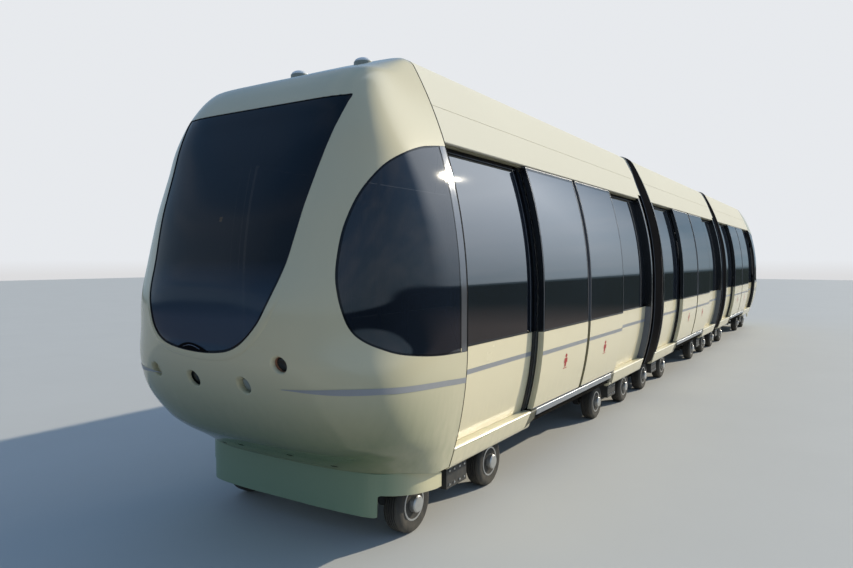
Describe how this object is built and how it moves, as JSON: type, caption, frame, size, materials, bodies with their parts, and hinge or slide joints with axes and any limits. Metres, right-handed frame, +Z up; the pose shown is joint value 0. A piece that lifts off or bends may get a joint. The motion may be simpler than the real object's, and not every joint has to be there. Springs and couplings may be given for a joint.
{
  "type": "articulated cable-drawn people mover",
  "caption": "Low articulated rail-guided passenger vehicle in three cars with rounded glazed noses, sliding side doors, bellows gangways and rubber-tyred bogies, moved by a haul cable.",
  "frame": {"origin": "on the running surface under the middle of the middle car", "axes": "+X along the vehicle, the first car has its nose at -X; +Y across it; +Z up"},
  "size_m": [18.648, 2.24, 3.31],
  "materials": {
    "body_paint": "gloss cream paint",
    "underframe_paint": "satin pale grey-cream paint",
    "glass": "dark tinted glass",
    "bellows": "matte black",
    "iron": "dark painted",
    "tyre": "matte with pale hubs",
    "seating": "satin grey"
  },
  "bodies": {
    "car_1": {"car_1_underframe": "underframe_paint", "car_1_roof": "body_paint", "car_1_seats": "seating", "car_1_wall_left": "body_paint", "car_1_wall_right": "body_paint", "car_1_gangway": "bellows", "car_1_nose": "body_paint", "car_1_windscreen": "glass", "car_1_apron": "underframe_paint"},
    "door_1_left_a": {"car_1_door_left_a": "body_paint"},
    "door_1_left_b": {"car_1_door_left_b": "body_paint"},
    "door_1_right_a": {"car_1_door_right_a": "body_paint"},
    "door_1_right_b": {"car_1_door_right_b": "body_paint"},
    "bogie_1_a": {"car_1_bogie_a": "iron"},
    "wheelset_1_1": {"car_1_wheelset_1": "tyre"},
    "wheelset_1_2": {"car_1_wheelset_2": "tyre"},
    "bogie_1_b": {"car_1_bogie_b": "iron"},
    "wheelset_1_3": {"car_1_wheelset_3": "tyre"},
    "wheelset_1_4": {"car_1_wheelset_4": "tyre"},
    "car_2": {"car_2_underframe": "underframe_paint", "car_2_roof": "body_paint", "car_2_seats": "seating", "car_2_wall_left": "body_paint", "car_2_wall_right": "body_paint", "car_2_gangway_front": "bellows", "car_2_gangway_rear": "bellows", "cable_grip": "iron"},
    "door_2_left_a": {"car_2_door_left_a": "body_paint"},
    "door_2_left_b": {"car_2_door_left_b": "body_paint"},
    "door_2_right_a": {"car_2_door_right_a": "body_paint"},
    "door_2_right_b": {"car_2_door_right_b": "body_paint"},
    "bogie_2_a": {"car_2_bogie_a": "iron"},
    "wheelset_2_1": {"car_2_wheelset_1": "tyre"},
    "wheelset_2_2": {"car_2_wheelset_2": "tyre"},
    "bogie_2_b": {"car_2_bogie_b": "iron"},
    "wheelset_2_3": {"car_2_wheelset_3": "tyre"},
    "wheelset_2_4": {"car_2_wheelset_4": "tyre"},
    "car_3": {"car_3_underframe": "underframe_paint", "car_3_roof": "body_paint", "car_3_seats": "seating", "car_3_wall_left": "body_paint", "car_3_wall_right": "body_paint", "car_3_gangway": "bellows", "car_3_nose": "body_paint", "car_3_windscreen": "glass", "car_3_apron": "underframe_paint"},
    "door_3_left_a": {"car_3_door_left_a": "body_paint"},
    "door_3_left_b": {"car_3_door_left_b": "body_paint"},
    "door_3_right_a": {"car_3_door_right_a": "body_paint"},
    "door_3_right_b": {"car_3_door_right_b": "body_paint"},
    "bogie_3_a": {"car_3_bogie_a": "iron"},
    "wheelset_3_1": {"car_3_wheelset_1": "tyre"},
    "wheelset_3_2": {"car_3_wheelset_2": "tyre"},
    "bogie_3_b": {"car_3_bogie_b": "iron"},
    "wheelset_3_3": {"car_3_wheelset_3": "tyre"},
    "wheelset_3_4": {"car_3_wheelset_4": "tyre"}
  },
  "joints": [
    {"name": "door_1_left_a_slide", "type": "slide", "parent": "car_1", "child": "door_1_left_a", "axis": [-1, 0, 0], "range_m": [0, 1.09]},
    {"name": "door_1_left_b_slide", "type": "slide", "parent": "car_1", "child": "door_1_left_b", "axis": [1, 0, 0], "range_m": [0, 1.09]},
    {"name": "door_1_right_a_slide", "type": "slide", "parent": "car_1", "child": "door_1_right_a", "axis": [-1, 0, 0], "range_m": [0, 1.09]},
    {"name": "door_1_right_b_slide", "type": "slide", "parent": "car_1", "child": "door_1_right_b", "axis": [1, 0, 0], "range_m": [0, 1.09]},
    {"name": "bogie_1_a_swivel", "type": "hinge", "parent": "car_1", "child": "bogie_1_a", "pos_m": [-7.67, 0, 0.44], "axis": [0, 0, 1], "range_deg": [-5, 5]},
    {"name": "wheelset_1_1_spin", "type": "hinge", "parent": "bogie_1_a", "child": "wheelset_1_1", "pos_m": [-8.23, 0, 0.2], "axis": [0, 1, 0], "continuous": true},
    {"name": "wheelset_1_2_spin", "type": "hinge", "parent": "bogie_1_a", "child": "wheelset_1_2", "pos_m": [-7.11, 0, 0.2], "axis": [0, 1, 0], "continuous": true},
    {"name": "bogie_1_b_swivel", "type": "hinge", "parent": "car_1", "child": "bogie_1_b", "pos_m": [-3.83, 0, 0.44], "axis": [0, 0, 1], "range_deg": [-5, 5]},
    {"name": "wheelset_1_3_spin", "type": "hinge", "parent": "bogie_1_b", "child": "wheelset_1_3", "pos_m": [-4.39, 0, 0.2], "axis": [0, 1, 0], "continuous": true},
    {"name": "wheelset_1_4_spin", "type": "hinge", "parent": "bogie_1_b", "child": "wheelset_1_4", "pos_m": [-3.27, 0, 0.2], "axis": [0, 1, 0], "continuous": true},
    {"name": "door_2_left_a_slide", "type": "slide", "parent": "car_2", "child": "door_2_left_a", "axis": [-1, 0, 0], "range_m": [0, 1.09]},
    {"name": "door_2_left_b_slide", "type": "slide", "parent": "car_2", "child": "door_2_left_b", "axis": [1, 0, 0], "range_m": [0, 1.09]},
    {"name": "door_2_right_a_slide", "type": "slide", "parent": "car_2", "child": "door_2_right_a", "axis": [-1, 0, 0], "range_m": [0, 1.09]},
    {"name": "door_2_right_b_slide", "type": "slide", "parent": "car_2", "child": "door_2_right_b", "axis": [1, 0, 0], "range_m": [0, 1.09]},
    {"name": "bogie_2_a_swivel", "type": "hinge", "parent": "car_2", "child": "bogie_2_a", "pos_m": [-1.73, 0, 0.44], "axis": [0, 0, 1], "range_deg": [-5, 5]},
    {"name": "wheelset_2_1_spin", "type": "hinge", "parent": "bogie_2_a", "child": "wheelset_2_1", "pos_m": [-2.29, 0, 0.2], "axis": [0, 1, 0], "continuous": true},
    {"name": "wheelset_2_2_spin", "type": "hinge", "parent": "bogie_2_a", "child": "wheelset_2_2", "pos_m": [-1.17, 0, 0.2], "axis": [0, 1, 0], "continuous": true},
    {"name": "bogie_2_b_swivel", "type": "hinge", "parent": "car_2", "child": "bogie_2_b", "pos_m": [1.73, 0, 0.44], "axis": [0, 0, 1], "range_deg": [-5, 5]},
    {"name": "wheelset_2_3_spin", "type": "hinge", "parent": "bogie_2_b", "child": "wheelset_2_3", "pos_m": [1.17, 0, 0.2], "axis": [0, 1, 0], "continuous": true},
    {"name": "wheelset_2_4_spin", "type": "hinge", "parent": "bogie_2_b", "child": "wheelset_2_4", "pos_m": [2.29, 0, 0.2], "axis": [0, 1, 0], "continuous": true},
    {"name": "door_3_left_a_slide", "type": "slide", "parent": "car_3", "child": "door_3_left_a", "axis": [1, 0, 0], "range_m": [0, 1.09]},
    {"name": "door_3_left_b_slide", "type": "slide", "parent": "car_3", "child": "door_3_left_b", "axis": [-1, 0, 0], "range_m": [0, 1.09]},
    {"name": "door_3_right_a_slide", "type": "slide", "parent": "car_3", "child": "door_3_right_a", "axis": [1, 0, 0], "range_m": [0, 1.09]},
    {"name": "door_3_right_b_slide", "type": "slide", "parent": "car_3", "child": "door_3_right_b", "axis": [-1, 0, 0], "range_m": [0, 1.09]},
    {"name": "bogie_3_a_swivel", "type": "hinge", "parent": "car_3", "child": "bogie_3_a", "pos_m": [7.67, 0, 0.44], "axis": [0, 0, 1], "range_deg": [-5, 5]},
    {"name": "wheelset_3_1_spin", "type": "hinge", "parent": "bogie_3_a", "child": "wheelset_3_1", "pos_m": [8.23, 0, 0.2], "axis": [0, 1, 0], "continuous": true},
    {"name": "wheelset_3_2_spin", "type": "hinge", "parent": "bogie_3_a", "child": "wheelset_3_2", "pos_m": [7.11, 0, 0.2], "axis": [0, 1, 0], "continuous": true},
    {"name": "bogie_3_b_swivel", "type": "hinge", "parent": "car_3", "child": "bogie_3_b", "pos_m": [3.83, 0, 0.44], "axis": [0, 0, 1], "range_deg": [-5, 5]},
    {"name": "wheelset_3_3_spin", "type": "hinge", "parent": "bogie_3_b", "child": "wheelset_3_3", "pos_m": [4.39, 0, 0.2], "axis": [0, 1, 0], "continuous": true},
    {"name": "wheelset_3_4_spin", "type": "hinge", "parent": "bogie_3_b", "child": "wheelset_3_4", "pos_m": [3.27, 0, 0.2], "axis": [0, 1, 0], "continuous": true},
    {"name": "articulation_front", "type": "hinge", "parent": "car_2", "child": "car_1", "pos_m": [-2.78, 0, 0.5], "axis": [0, 0, 1], "range_deg": [-6, 6]},
    {"name": "articulation_rear", "type": "hinge", "parent": "car_2", "child": "car_3", "pos_m": [2.78, 0, 0.5], "axis": [0, 0, 1], "range_deg": [-6, 6]}
  ],
  "couplings": [
    {"joint": "door_1_left_b_slide", "follows": "door_1_left_a_slide", "ratio": 1},
    {"joint": "door_1_right_b_slide", "follows": "door_1_right_a_slide", "ratio": 1},
    {"joint": "door_2_left_b_slide", "follows": "door_2_left_a_slide", "ratio": 1},
    {"joint": "door_2_right_b_slide", "follows": "door_2_right_a_slide", "ratio": 1},
    {"joint": "door_3_left_b_slide", "follows": "door_3_left_a_slide", "ratio": 1},
    {"joint": "door_3_right_b_slide", "follows": "door_3_right_a_slide", "ratio": 1}
  ]
}
